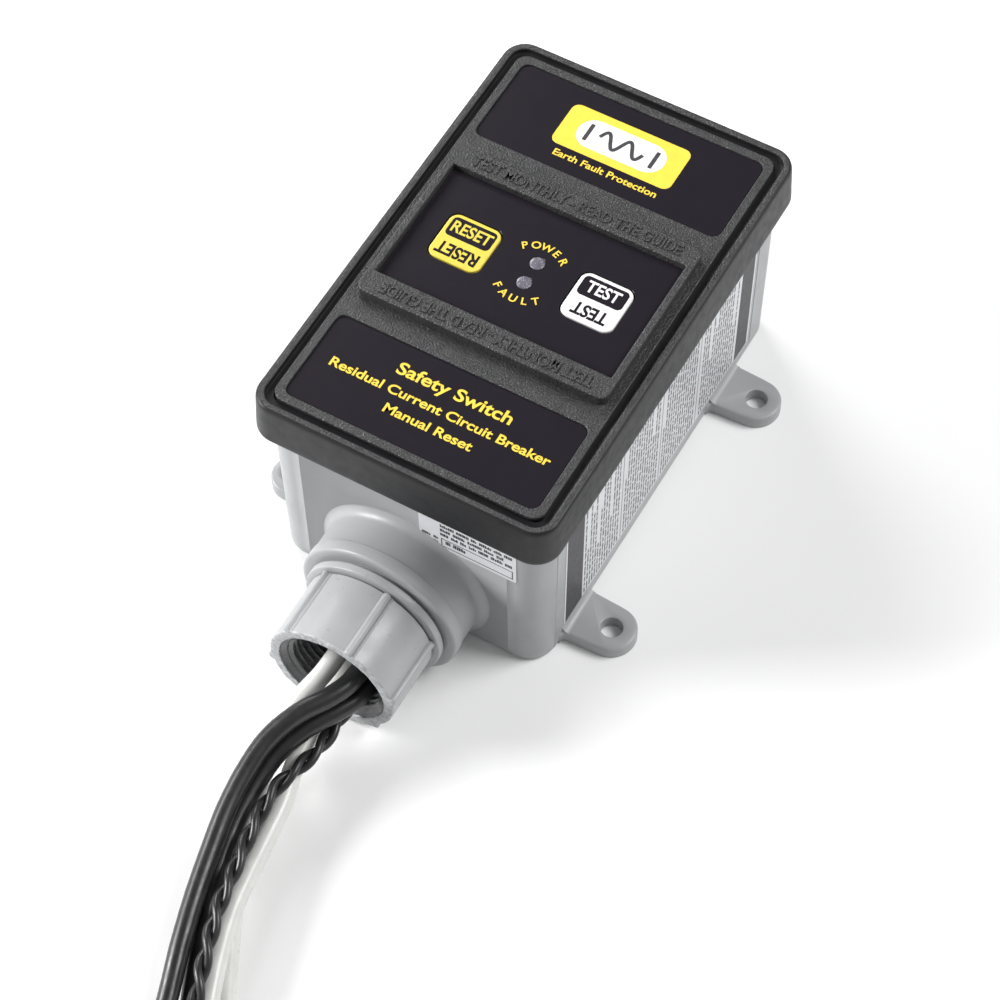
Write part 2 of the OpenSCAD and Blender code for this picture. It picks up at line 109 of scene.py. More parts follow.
def circle(r, n=40, at=(0, 0)):
    return [(at[0] + r * math.cos(2 * math.pi * k / n), at[1] + r * math.sin(2 * math.pi * k / n))
            for k in range(n)]


def strips(rings, closed=False):
    """Quads joining rings of equal length."""
    n = len(rings[0])
    f = []
    last = len(rings)
    for i in range(last if closed else last - 1):
        a, b = i * n, ((i + 1) % last) * n
        for k in range(n):
            m = (k + 1) % n
            f.append((a + k, a + m, b + m, b + k))
    return [p for r in rings for p in r], f


def solid_loft(rings):
    """Closed form from rings going up, with flat ends."""
    v, f = strips(rings)
    n = len(rings[0])
    f.append(tuple(range(n - 1, -1, -1)))
    f.append(tuple(range(len(v) - n, len(v))))
    return v, f


def fill(outer, holes, z, up=True):
    loops = [[Vector((p[0], p[1], 0)) for p in outer]] + [[Vector((p[0], p[1], 0)) for p in h] for h in holes]
    tri = tessellate_polygon(loops)
    v = [(p.x, p.y, z) for l in loops for p in l]
    f = []
    for a, b, c in tri:
        n = (Vector(v[b]) - Vector(v[a])).cross(Vector(v[c]) - Vector(v[a])).z
        f.append((a, b, c) if (n > 0) == up else (a, c, b))
    return v, f


def plate(outer, z0, z1, holes=(), bevel=0.3, low=0.0, steps=3, m=0, n=8):
    """Plate between two heights. outer and holes are (cx, cy, hx, hy, r), or (cx, cy, r) for a round one."""
    s = Shape()

    def loop(o, d):
        if len(o) == 3:
            return circle(o[2] + d, 40, o[:2])
        return rrect(o[2] + d, o[3] + d, o[4] + d, n, o[:2])
    prof = [(low, z0)] if low else [(0, z0)]
    if low:
        prof.append((0, z0 + low))
    for k in range(steps + 1):
        a = math.radians(90 * k / steps)
        prof.append((bevel * (1 - math.cos(a)), z1 - bevel + bevel * math.sin(a)))
    groups = []
    for j, o in enumerate([outer] + list(holes)):
        sign = -1 if j == 0 else 1
        rings = [[(p[0], p[1], z) for p in loop(o, sign * d)] for d, z in prof]
        v, f = strips(rings)
        if j:
            f = [tuple(reversed(q)) for q in f]
        s.put(v, f, m)
        groups.append((rings[0], rings[-1]))
    s.put(*fill(groups[0][1], [g[1] for g in groups[1:]], z1), m)
    s.put(*fill(groups[0][0], [g[0] for g in groups[1:]], z0, up=False), m)
    return s


def weld(s, tol=1e-4):
    """Merges points that lie on each other."""
    seen, remap, v = {}, [], []
    for p in s.v:
        key = tuple(round(c / tol) for c in p)
        if key not in seen:
            seen[key] = len(v)
            v.append(p)
        remap.append(seen[key])
    f, m = [], []
    for q, k in zip(s.f, s.m):
        t = []
        for i in q:
            j = remap[i]
            if j not in t:
                t.append(j)
        if len(t) > 2:
            f.append(tuple(t))
            m.append(k)
    s.v, s.f, s.m = v, f, m
    return s


def lathe(profile, n=96):
    """Turns a closed (r, h) profile about +Z."""
    rings = [[(r * math.cos(2 * math.pi * k / n), r * math.sin(2 * math.pi * k / n), h) for k in range(n)]
             for r, h in profile]
    return strips(rings, closed=True)


def spline(pts, step=1.0, floor=None):
    """Smooth curve through the points, kept at or above floor when one is given."""
    P = [Vector(p) for p in pts]
    P = [P[0] * 2 - P[1]] + P + [P[-1] * 2 - P[-2]]
    out = []
    for i in range(1, len(P) - 2):
        a, b, c, d = P[i - 1:i + 3]
        k = max(2, int((c - b).length / step))
        for j in range(k):
            t = j / k
            out.append(0.5 * ((2 * b) + (c - a) * t + (2 * a - 5 * b + 4 * c - d) * t * t
                              + (3 * b - a - 3 * c + d) * t ** 3))
    out.append(P[-2])
    if floor is not None:
        for q in out:
            q.z = max(q.z, floor)
    return out


def frames(path, aside=(0, 0, 1)):
    """(point, side, up) along a path, without twist."""
    out = []
    side = None
    for i, p in enumerate(path):
        t = (path[min(i + 1, len(path) - 1)] - path[max(i - 1, 0)]).normalized()
        if side is None:
            side = t.cross(Vector(aside)).normalized()
        side = (side - t * side.dot(t)).normalized()
        out.append((p, side, side.cross(t).normalized()))
    return out


def tube(path, radii, sides=20, aside=(0, 0, 1)):
    rings = []
    for (p, s, u), r in zip(frames(path, aside), radii):
        rings.append([p + (s * math.cos(2 * math.pi * k / sides) + u * math.sin(2 * math.pi * k / sides)) * r
                      for k in range(sides)])
    v, f = solid_loft(rings)
    return v, [tuple(reversed(q)) for q in f]


# ---------------------------------------------------------------- materials
def material(name, color, rough=0.5, metal=0.0, grain=(0.4, 0.0), depth=0.05, mottle=(6.0, 0.06), rvar=0.06,
             coat=0.0, spec=None, detail=3.0, specks=None, streak=None):
    """Procedural surface. grain and mottle are (size in mm, strength); depth is the grain's height in mm."""
    m = bpy.data.materials.new(name)
    m.use_nodes = True
    nt = m.node_tree
    bsdf = nt.nodes["Principled BSDF"]
    bsdf.inputs["Metallic"].default_value = metal
    if coat:
        bsdf.inputs["Coat Weight"].default_value = coat
        bsdf.inputs["Coat Roughness"].default_value = 0.12
    if spec is not None:
        bsdf.inputs["Specular IOR Level"].default_value = spec
    tc = nt.nodes.new("ShaderNodeTexCoord")
    src = tc.outputs["Object"]
    if streak:
        mp = nt.nodes.new("ShaderNodeMapping")
        mp.inputs["Scale"].default_value = streak
        nt.links.new(src, mp.inputs["Vector"])
        src = mp.outputs["Vector"]

    def noise_node(size, det):
        n = nt.nodes.new("ShaderNodeTexNoise")
        n.inputs["Scale"].default_value = 1000.0 / size
        n.inputs["Detail"].default_value = det
        nt.links.new(src, n.inputs["Vector"])
        return n
    big = noise_node(mottle[0], 4)
    ramp = nt.nodes.new("ShaderNodeValToRGB")
    lo = [c * (1 - mottle[1]) for c in color]
    hi = [min(1, c * (1 + mottle[1])) for c in color]
    ramp.color_ramp.elements[0].position = 0.3
    ramp.color_ramp.elements[1].position = 0.7
    ramp.color_ramp.elements[0].color = (*lo, 1)
    ramp.color_ramp.elements[1].color = (*hi, 1)
    nt.links.new(big.outputs["Fac"], ramp.inputs["Fac"])
    out = ramp.outputs["Color"]
    if specks:
        size, share, tint = specks
        v = noise_node(size, 1)
        r2 = nt.nodes.new("ShaderNodeValToRGB")
        r2.color_ramp.elements[0].position = share
        r2.color_ramp.elements[1].position = min(share + 0.06, 1)
        nt.links.new(v.outputs["Fac"], r2.inputs["Fac"])
        mix = nt.nodes.new("ShaderNodeMix")
        mix.data_type = "RGBA"
        nt.links.new(r2.outputs["Color"], mix.inputs["Factor"])
        nt.links.new(out, mix.inputs["A"])
        mix.inputs["B"].default_value = (*tint, 1)
        out = mix.outputs["Result"]
    nt.links.new(out, bsdf.inputs["Base Color"])
    mr = nt.nodes.new("ShaderNodeMapRange")
    mr.inputs["From Min"].default_value = 0.3
    mr.inputs["From Max"].default_value = 0.7
    mr.inputs["To Min"].default_value = max(0.02, rough - rvar)
    mr.inputs["To Max"].default_value = min(1, rough + rvar)
    mid = noise_node(mottle[0] * 0.35, 3)
    nt.links.new(mid.outputs["Fac"], mr.inputs["Value"])
    nt.links.new(mr.outputs["Result"], bsdf.inputs["Roughness"])
    if grain[1]:
        g = noise_node(grain[0], detail)
        b = nt.nodes.new("ShaderNodeBump")
        b.inputs["Strength"].default_value = grain[1]
        b.inputs["Distance"].default_value = depth * MM
        nt.links.new(g.outputs["Fac"], b.inputs["Height"])
        nt.links.new(b.outputs["Normal"], bsdf.inputs["Normal"])
    return m


GREY = material("grey_pvc", (0.315, 0.322, 0.33), 0.40, grain=(0.9, 0.25), depth=0.04, mottle=(14, 0.03))
HUB = material("hub_pvc", (0.33, 0.337, 0.345), 0.33, grain=(1.1, 0.2), depth=0.05, mottle=(9, 0.04))
CUT = material("cut_pvc", (0.40, 0.41, 0.42), 0.6, grain=(0.5, 0.8), depth=0.25, mottle=(1.2, 0.3))
# inside of the bore: the hub's own grey PVC painted about three times darker, as painted shade in the bore
BORE_SHADE = material("bore_pvc_painted_shade", (0.10, 0.102, 0.105), 0.26, grain=(1.1, 0.2), depth=0.05, mottle=(9, 0.05))
BLACK = material("black_smooth", (0.010, 0.010, 0.011), 0.42, grain=(0.5, 0.25), depth=0.02, mottle=(8, 0.15),
                 spec=0.3)
TEXT_BLACK = material("black_textured", (0.030, 0.030, 0.031), 0.40, grain=(0.55, 1.0), depth=0.35,
                      mottle=(3, 0.2), detail=2.0)
LABEL = material("label_black", (0.014, 0.0115, 0.016), 0.24, grain=(0.35, 0.06), depth=0.004, mottle=(10, 0.03),
                 rvar=0.008, spec=0.35)
YELLOW = material("print_yellow", (0.80, 0.56, 0.055), 0.45, grain=(0.3, 0.15), depth=0.01, mottle=(3, 0.05))
KEYYEL = material("key_yellow", (0.66, 0.52, 0.07), 0.35, grain=(0.4, 0.12), depth=0.01, mottle=(3, 0.04))
WHITE = material("key_white", (0.74, 0.74, 0.73), 0.35, grain=(0.4, 0.12), depth=0.01, mottle=(3, 0.03))
PAPER = material("label_paper", (0.60, 0.61, 0.63), 0.36, grain=(0.6, 0.2), depth=0.01, mottle=(7, 0.04))
INK = material("label_ink", (0.035, 0.035, 0.04), 0.5, grain=(0.3, 0.2), depth=0.01, mottle=(1.2, 0.3))
INK2 = material("label_ink_pale", (0.12, 0.12, 0.13), 0.5, grain=(0.3, 0.2), depth=0.01, mottle=(1.2, 0.3))
LENS = material("lens", (0.12, 0.115, 0.14), 0.25, grain=(0.5, 0.3), depth=0.03, mottle=(1.0, 0.25),
                specks=(0.35, 0.62, (0.3, 0.29, 0.33)))
WIREB = material("wire_black", (0.012, 0.012, 0.013), 0.36, grain=(1.2, 0.25), depth=0.05, mottle=(5, 0.2), spec=0.55)
WIREW = material("wire_white", (0.63, 0.63, 0.61), 0.32, grain=(1.4, 0.2), depth=0.05, mottle=(7, 0.05),
                 coat=0.1, specks=(0.5, 0.74, (0.35, 0.34, 0.32)))
COPPER = material("copper", (0.72, 0.36, 0.22), 0.28, metal=1.0, grain=(0.3, 0.3), depth=0.02, mottle=(1.5, 0.12))
PRINT = material("wire_print", (0.45, 0.45, 0.46), 0.5, grain=(0.2, 0.3), depth=0.01, mottle=(0.6, 0.35))

# ---------------------------------------------------------------- leads
ROUTES = {
    "black_lead_a": [[4.5, -70, 22], [5.7, -78, 22.5], [6.4, -86, 22.5], [5.8, -94, 22], [3.4, -100, 21.8],
        [-1, -107, 21], [-4.5, -115, 18.5], [-5.5, -124, 16], [-5, -134, 13.5], [-3, -145, 11.2],
        [-0.5, -156, 9.5], [3, -168, 8], [7, -180, 6], [11, -193, 4], [14.5, -206, 3], [18, -219, 2.6],
        [21, -232, 2.6]],
    "black_lead_b": [[6.5, -70, 16], [7.8, -78, 16], [8.4, -86, 16], [7.6, -94, 16], [5, -100, 15.9],
        [0.8, -107, 15], [-2.5, -115, 12.8], [-3.5, -124, 10.2], [-3, -134, 8], [-1, -145, 6],
        [2.2, -156, 4.3], [7, -168, 3.2], [12.5, -180, 2.6], [17.5, -193, 2.6], [21.5, -206, 2.6],
        [25, -219, 2.6], [28, -232, 2.6]],
    "white_lead_a": [[-2, -70, 23], [-1.2, -78, 23.2], [-0.8, -86, 22.7], [-1.7, -94, 20.5], [-4, -100, 16.8],
        [-6, -107, 11.5], [-5.8, -115, 6.8], [-4, -124, 3.6], [-1.2, -134, 2.6], [3.5, -145, 2.6],
        [9, -156, 2.6], [15.5, -168, 2.6], [22, -180, 2.6], [28.5, -193, 2.6], [33.5, -206, 2.6],
        [37, -219, 2.6], [40, -232, 2.6]],
    "white_lead_b": [[-0.5, -70, 13], [0, -78, 12.5], [0, -86, 12], [0, -94, 11.5], [0, -100, 10.8],
        [0.5, -107, 9.5], [1.5, -115, 8], [3.8, -124, 7], [5.3, -134, 7], [7, -145, 7.8],
        [9.2, -156, 8.3], [13, -168, 8], [17.6, -180, 6.2], [22.9, -193, 4.3], [27, -206, 3],
        [31, -219, 2.6], [34, -232, 2.6]],
    "thin_pair": [[4.8, -70, 10.5], [5, -78, 10.3], [5, -86, 10.3], [5, -94, 10.4], [5, -100, 10.6],
        [5.2, -107, 11.2], [4.2, -115, 12.3], [2, -124, 12.3], [2.5, -134, 11.8], [4.5, -145, 12],
        [6.8, -156, 12.6], [10.6, -168, 12.4], [15, -180, 10.6], [20.2, -193, 8.6], [24.8, -206, 7.6],
        [29, -219, 7.4], [32.6, -232, 7.4]],
}
LEAD_R = 2.6


def strands(s, path, core_r, strand_r, layout, start, length, pitch):
    """Bare conductor: strands laid round the end of a path."""
    d = (path[-1] - path[-2]).normalized()
    side = d.cross(Vector((0, 0, 1))).normalized()
    up = side.cross(d)
    for radius, count in layout:
        for k in range(count):
            line = []
            for j in range(13):
                t = start + (length - start - random.uniform(0, 0.25)) * j / 12
                a = 2 * math.pi * (k / count + t / pitch)
                line.append(path[-1] + d * t + (side * math.cos(a) + up * math.sin(a)) * radius)
            s.put(*tube(line, [strand_r] * 13, 8))
    return s


def lead(name, mat, slot):
    path = spline(ROUTES[name], 1.0, LEAD_R)
    n = len(path)
    rad = []
    for i in range(n):
        rad.append(LEAD_R * (1 + 0.012 * noise.noise(path[i] * 0.18)) - 0.03)
    rad[-1] = LEAD_R - 0.18
    rad[-2] = LEAD_R - 0.03
    v, f = tube(path, rad, 32)
    s = Shape().put(v, f)
    o = s.make(name + "_jacket", mat, smooth=50, replaces=(name,), slot=slot)
    core = strands(Shape(), path, 1.5, 0.28, ((0.0, 1), (0.6, 6), (1.18, 12)), -1.0, 10.0, 34.0)
    c = core.make(name + "_strands", COPPER, smooth=60)
    return path


LEADS = {}
for nm, mt, sl in (("black_lead_a", WIREB, "black_insulation"), ("black_lead_b", WIREB, "black_insulation"),
                   ("white_lead_a", WIREW, "white_insulation"), ("white_lead_b", WIREW, "white_insulation")):
    LEADS[nm] = lead(nm, mt, sl)

pair_path = spline(ROUTES["thin_pair"], 0.8, 2.15)
pair = Shape()
pair_core = Shape()
PR = 1.05
run = 0.0
lines = ([], [])
for i, (p, sd, u) in enumerate(frames(pair_path)):
    if i:
        run += (p - pair_path[i - 1]).length
    for k in (0, 1):
        a = 2 * math.pi * (run / 17.0) + math.pi * k
        lines[k].append(p + (sd * math.cos(a) + u * math.sin(a)) * (PR + 0.02))
for k in (0, 1):
    pair.put(*tube(lines[k], [PR] * len(lines[k]), 20))
    strands(pair_core, lines[k], 0.5, 0.17, ((0.0, 1), (0.34, 6)), -0.6, 9.5, 20.0)
pair_o = pair.make("thin_pair_jackets", WIREB, smooth=60, replaces=("thin_pair",), slot="black_insulation")
pair_c = pair_core.make("thin_pair_strands", COPPER, smooth=60)

# ---------------------------------------------------------------- rear box
SH = 5.4
HZ = 18.3


def wall_x(z):
    return 38.55 + 0.6 * z / 54.0


def wall_y(z):
    return 63.0 + 0.6 * z / 54.0


def box_ring(d, z, n=10, seams=0.0, groove=0.0):
    """Outline of the box at one height, moved in by d, with fine moulding lines on its walls."""
    hx, hy = wall_x(z) - d, wall_y(z) - d
    r = max(7.5 - d, 0.6)
    pts = []

    def line(a, b, marks):
        """From a to b, with (place, width, height) marks standing out to the right of the way."""
        a, b = Vector(a), Vector(b)
        t = (b - a).normalized()
        nrm = Vector((t.y, -t.x))
        L = (b - a).length
        for place, w, h in marks:
            for q, hh in ((-w, 0), (-w * 0.35, h), (w * 0.35, h), (w, 0)):
                pts.append(a + t * (place * L + q) + nrm * hh)

    def corner(cx, cy, a0):
        for k in range(n + 1):
            a = math.radians(a0 + 90 * k / n)
            pts.append(Vector((cx + r * math.cos(a), cy + r * math.sin(a))))
    corner(hx - r, r - hy, 270)
    L = 2 * (hy - r)
    # right wall, going towards +Y
    line((hx, r - hy), (hx, hy - r), [((-50.5 - SH + hy - r) / L, 0.22, -groove), (0.5 + 50.5 / L, 0.2, -groove)])
    corner(hx - r, hy - r, 0)
    L = 2 * (hx - r)
    line((hx - r, hy), (r - hx, hy), [(0.5 - 29.1 / L, 0.2, seams), (0.5 + 29.1 / L, 0.2, seams)])
    corner(r - hx, hy - r, 90)
    L = 2 * (hy - r)
    line((-hx, hy - r), (-hx, r - hy), [(0.5 - 50.5 / L, 0.2, -groove), (0.5 + 50.5 / L, 0.2, -groove)])
    corner(r - hx, r - hy, 180)
    L = 2 * (hx - r)
    line((r - hx, -hy), (hx - r, -hy), [(0.5 - 29.1 / L, 0.2, seams), (0.5 + 29.1 / L, 0.2, seams)])
    return [(p.x, p.y + SH, z) for p in pts]


box = Shape()
rings = []
for d, z in ((1.5, 0), (0.72, 0.32), (0.25, 0.85), (0.04, 1.5)):
    rings.append(box_ring(d, z))
rings.append(box_ring(0, 3.2, seams=0.0, groove=0.0))
rings.append(box_ring(0, 3.4, seams=0.10, groove=0.35))
for z in (8, 16, 24, 32, 40, 48, 53):
    rings.append(box_ring(0, z, seams=0.10, groove=0.35))
rings.append(box_ring(0, 53.5))
rings.append(box_ring(0, 59.7))
rings.append(box_ring(0.3, 60.0))
rings.append(box_ring(3.2, 60.0))
rings.append(box_ring(3.2, 3.5))
v, f = strips(rings)
box.put(v, f)
# inner floor
inner = rings[-1]
box.put(*fill([p[:2] for p in inner], [], 3.5))
# back face with the four screw recesses
HOLES = [(x * 31.5, y * 56 + SH) for x in (-1, 1) for y in (-1, 1)]
box.put(*fill([p[:2] for p in rings[0]], [circle(3.6, 36, h) for h in HOLES], 0, up=False))
for h in HOLES:
    lo = circle(3.6, 36, h)
    v, f = strips([[(p[0], p[1], 0) for p in lo], [(p[0], p[1], 3.9) for p in lo]])
    box.put(v, [tuple(reversed(q)) for q in f])
    box.put(*fill(lo, [], 3.9, up=False))
    col = circle(4.5, 36, h)
    box.put(*solid_loft([[(p[0], p[1], 3.4) for p in col], [(p[0], p[1], 58) for p in col]]))


def foot(sx, sy):
    """Mounting ear, from inside the wall out to its round end, with a bored hole."""
    s = Shape()
    cx, cy = (49.0, 40.0) if sx > 0 else (45.0, 40.0)
    R = 6.6 if sx > 0 else 6.0
    x0, xw = 37.4, 38.65
    y0 = R + 1.9
    half = [(x0, y0), (xw, y0)]
    for k in range(1, 9):
        a = math.radians(90 * k / 8)
        half.append((xw + 1.5 * (1 - math.cos(a)), R + 0.5 + 1.4 * (1 - math.sin(a))))
    half.append((cx - 1.0, R + 0.12))
    end = []
    for k in range(0, 25):
        a = math.radians(90 - 180 * k / 24)
        end.append((cx + R * math.cos(a), R * math.sin(a)))
    out = half + end + [(x, -y) for x, y in reversed(half)]
    out = out[::-1]
    # offset inwards for the rounded edges
    def inset(loop, d):
        res = []
        n = len(loop)
        for i, p in enumerate(loop):
            a, b = Vector(loop[i - 1]), Vector(loop[(i + 1) % n])
            t = (b - a).normalized()
            nrm = Vector((-t.y, t.x))
            res.append((p[0] + nrm.x * d, p[1] + nrm.y * d))
        return res
    def hole(r):
        return circle(r, 40, (cx, 0))
    rings, hr = [], []
    for d, z in ((0.35, 0), (0.1, 0.1), (0, 0.35), (0, 3.5), (0.18, 3.88), (0.6, 4.1)):
        rings.append([(p[0], p[1], z) for p in inset(out, d)])
    for r, z in ((3.15, 0), (2.85, 0.3), (2.85, 3.7), (2.95, 3.95), (3.25, 4.1)):
        hr.append([(p[0], p[1], z) for p in hole(r)])
    v, f = strips(rings)
    s.put(v, f)
    v, f = strips(hr)
    s.put(v, [tuple(reversed(q)) for q in f])
    s.put(*fill([p[:2] for p in rings[-1]], [[p[:2] for p in hr[-1]]], 4.1))
    s.put(*fill([p[:2] for p in rings[0]], [[p[:2] for p in hr[0]]], 0, up=False))
    # soft root fillet on top
    sec = [(37.6, 3.6)] + [(38.55 + 0.07 + 1.9 * (1 - math.sin(math.radians(a))), 4.1 + 1.9 * (1 - math.cos(math.radians(a))))
                           for a in range(90, -1, -15)] + [(40.55, 3.6)]
    prof = [[(x, yy, z) for x, z in sec] for yy in (-R - 0.4, R + 0.4)]
    s.put(*solid_loft([prof[1], prof[0]]))
    weld(s)
    s.moved(lambda p: Vector((p.x * sx, p.y * sy + cy * sy, p.z)))
    if sx * sy < 0:
        s.f = [tuple(reversed(q)) for q in s.f]
    return s


for sx in (-1, 1):
    for sy in (-1, 1):
        s = foot(sx, sy)
        box.put(s.v, s.f)

# hub boss with its fillet on the front wall, cut level with the back
boss = []
WY = 58.1 - 0.02


def boss_ring(r, dist, inside=False, n=128):
    """Ring at dist in front of the wall (or of its plane at the hub's height)."""
    out = []
    for k in range(n):
        a = 2 * math.pi * k / n
        x, z = r * math.cos(a), HZ + r * math.sin(a)
        y = -(wall_y(max(z, 0)) - SH) - dist if dist < 6 else -58.1 - dist
        out.append((x, y, z))
    return out


F = 2.6
prof = [(24.6, -1.5)]
for k in range(0, 10):
    a = math.radians(90 * k / 9)
    prof.append((22 - 0.35 + F * (1 - math.sin(a)), F * (1 - math.cos(a)) - 0.03))
prof += [(21.65, 6.2), (21.65, 9.2), (21.72, 9.45), (21.95, 9.65), (22, 10.0), (22, 12.5), (21.85, 12.9), (21.5, 13.12),
         (21.0, 13.2), (19.6, 13.2), (15.6, 13.2), (15.6, -1.5)]
bs = Shape().put(*strips([boss_ring(r, d) for r, d in prof], closed=True))


def cut_below(s, z0=0.0):
    """Cuts away what lies below a height and closes the cut."""
    import bmesh
    bm = bmesh.new()
    vs = [bm.verts.new(p) for p in s.v]
    for q in s.f:
        try:
            bm.faces.new([vs[i] for i in q])
        except ValueError:
            pass
    bmesh.ops.recalc_face_normals(bm, faces=bm.faces)
    r = bmesh.ops.bisect_plane(bm, geom=bm.verts[:] + bm.edges[:] + bm.faces[:], plane_co=(0, 0, z0),
                               plane_no=(0, 0, 1), clear_inner=True, dist=1e-5)
    edges = [e for e in r["geom_cut"] if isinstance(e, bmesh.types.BMEdge)]
    bmesh.ops.holes_fill(bm, edges=edges, sides=0)
    bmesh.ops.recalc_face_normals(bm, faces=bm.faces)
    bm.verts.index_update()
    out = Shape().put([v.co.copy() for v in bm.verts], [tuple(v.index for v in fc.verts) for fc in bm.faces])
    bm.free()
    return out


bs = cut_below(bs)
box.put(bs.v, bs.f)
box_o = box.make("box_body", GREY, smooth=38, replaces=("rear_box",), slot="grey_pvc")

# ---------------------------------------------------------------- conduit adapter
def on_hub(s, y):
    """Stands a turned shape, made along +Z, on the hub's axis, pointing along -Y from y."""
    return s.moved(lambda p: Vector((p.x, y - p.z, HZ + p.y)))


hub = Shape()
N = 360
flange = lathe([(15.5, -11.5), (15.5, 0.02), (17.9, 0.02), (18.1, 0.45), (18.9, 0.85), (19.2, 1.15), (19.2, 2.6), (19.05, 2.95),
                (18.75, 3.1), (17.0, 3.12), (16.5, 3.2), (16.5, 3.6), (12.6, 3.6), (12.0, 2.0), (11.55, -0.5),
                (11.55, -11.5)], 128)
hub.put(*flange)


def rib(deg):
    """Height of the moulded ribs: a round bead with a fine ridge beside it."""
    h = 0.0
    for n in range(6):
        d = (deg - 11 - 60 * n + 180) % 360 - 180
        if abs(d - 0.6) < 3.2:
            h = max(h, 1.2 * math.sqrt(1 - ((d - 0.6) / 3.2) ** 2) ** 0.8)
        if abs(d + 4.4) < 1.0:
            h = max(h, 0.5 * math.cos(math.pi * (d + 4.4) / 2.0))
        if -4.4 < d < -2:
            h = max(h, 0.16)
    return h


def rough(a, y, amp):
    return amp * (noise.noise(Vector((math.cos(a) * 9, math.sin(a) * 9, y))) +
                  0.6 * noise.noise(Vector((math.cos(a) * 30, math.sin(a) * 30, y + 5))))


L0, L1 = 3.55, 22.7
rings = []
for r, h, k in ((16.45, 3.3, 0.0), (16.45, 3.5, 0.0), (17.3, 3.6, 0.9), (17.5, 3.8, 1.0), (17.5, 5.0, 1.0), (17.5, 13.0, 1.0),
                (17.5, 20.5, 1.0), (17.5, 21.9, 1.0), (17.5, 22.35, 1.0)):
    rings.append([(( r + k * rib(360 * j / N)) * math.cos(2 * math.pi * j / N),
                   (r + k * rib(360 * j / N)) * math.sin(2 * math.pi * j / N), h) for j in range(N)])
# saw-cut mouth
for r, h, amp in ((17.35, L1 - 0.08, 0.16), (17.0, L1, 0.18), (16.2, L1 - 0.02, 0.14), (15.6, L1 - 0.02, 0.14), (15.0, L1 - 0.05, 0.12)):
    ring = []
    for j in range(N):
        a = 2 * math.pi * j / N
        rr = r + (rib(360 * j / N) if r > 16.9 else 0) + rough(a, h, 0.10)
        ring.append((rr * math.cos(a), rr * math.sin(a), min(h + rough(a, h * 3, amp), L1 + 0.25) - 0.1))
    rings.append(ring)
# entry and helical thread
ring = []
PITCH = 1.81


def thread(a, h):
    """Bore radius: V thread with flat crests and roots, fading out at its inner end."""
    x = ((h / PITCH - a / (2 * math.pi)) % 1.0)
    tri = abs(x - 0.5) * 2
    t = min(max((tri - 0.18) / 0.62, 0), 1)
    fade = min(max((h - 5.2) / 2.2, 0), 1)
    return 12.35 + (1.05 * t) * fade


steps = int((22.0 - 3.8) / 0.16)
for r0, h in ((14.85, 22.35),):
    rings.append([(r0 * math.cos(2 * math.pi * j / N), r0 * math.sin(2 * math.pi * j / N), h) for j in range(N)])
for i in range(steps + 1):
    h = 22.0 - (22.0 - 3.8) * i / steps
    ring = []
    for j in range(N):
        a = 2 * math.pi * j / N
        r = max(thread(a, h), 12.35 + 2.4 * min(max((h - 20.2) / 1.8, 0), 1))
        ring.append((r * math.cos(a), r * math.sin(a), h))
    rings.append(ring)
body = Shape()
v, f = strips(rings, closed=True)
mi = []
for i in range(len(rings)):
    mi += [1 if 8 <= i <= 13 else 0] * N
body.put(v, f)
body.m = mi
hub.put(body.v, body.f)
hub.m = hub.m[:len(hub.m) - len(mi)] + mi
on_hub(hub, -71.3)
hub2 = cut_below(hub, 0.0)
# keep the cut lip's material after the cut; the inside of the bore gets the darker material, which is painted shade
hub2.m = []
for q in hub2.f:
    far = sum(hub2.v[i][1] for i in q) / len(q)
    rad = sum(math.hypot(hub2.v[i][0], hub2.v[i][2] - HZ) for i in q) / len(q)
    hub2.m.append(1 if far < -93.65 and rad > 14.9 else 2 if far < -75 and rad < 14.95 else 0)
hub2.make("hub_adapter", [HUB, CUT, BORE_SHADE], smooth=40, replaces=("conduit_hub",), slot="hub_pvc")

# ---------------------------------------------------------------- cover
cov = Shape()


def cover_ring(d, z):
    return [(p[0], p[1] + SH, z) for p in rrect(41.25 + d, 65.75 + d, max(6.3 + d, 0.8), 14)]


prof = [(-1.85, 61.2, 0), (-1.85, 54.3, 0), (-1.6, 54.0, 0), (0.42, 54.0, 0), (0.64, 54.12, 0), (0.70, 54.4, 0),
        (0.66, 55.6, 0), (0.14, 64.9, 0), (0.06, 65.6, 0), (-0.06, 66.0, 0), (-0.28, 66.32, 0), (-0.62, 66.48, 1),
        (-0.9, 66.5, 1), (-1.8, 66.5, 1), (-2.0, 66.42, 1), (-2.1, 66.2, 0), (-2.15, 65.5, 0), (-2.3, 65.2, 0), (-2.6, 65.1, 0),
        (-3.8, 65.1, 0), (-4.25, 65.1, 0), (-4.25, 63.5, 0), (-5.25, 63.5, 0), (-5.25, 61.2, 0)]
v, f = strips([cover_ring(d, z) for d, z, _ in prof], closed=True)
cov.put(v, f)
n = len(cover_ring(0, 0))
mi = []
for i, (_, _, m) in enumerate(prof):
    mi += [m] * n
cov.m = mi
KEYS = [(-18.6, SH + 0.2), (18.6, SH + 0.2)]
LENSES = [(0, SH + 0.2 + 3.35), (0, SH + 0.2 - 3.35)]
HOLE = [(x, y, 7.65, 7.65, 3.0) for x, y in KEYS] + [(x, y, 2.05) for x, y in LENSES]
s = plate((0, SH, 37.1, 61.65, 3.4), 63.5, 65.7, HOLE, bevel=0.02, steps=1)
cov.put(s.v, s.f, 0)
s = plate((0, SH, 37.1, 61.65, 3.4), 65.6, 66.5,
          [(0, SH + 45.85, 34.9, 13.45, 2.5), (0, SH - 45.85, 34.9, 13.45, 2.5), (0, SH, 33.2, 19.5, 0.5)],
          bevel=0.28)
cov.put(s.v, s.f, 1)
s = plate((0, SH, 34.8, 25.8, 2.5), 66.3, 69.4, [(0, SH + 0.28, 32.9, 19.17, 0.3)], bevel=0.45, steps=4)
cov.put(s.v, s.f, 1)
s = plate((0, SH + 0.28, 33.4, 19.7, 0.3), 65.6, 66.9, HOLE, bevel=0.02, steps=1)
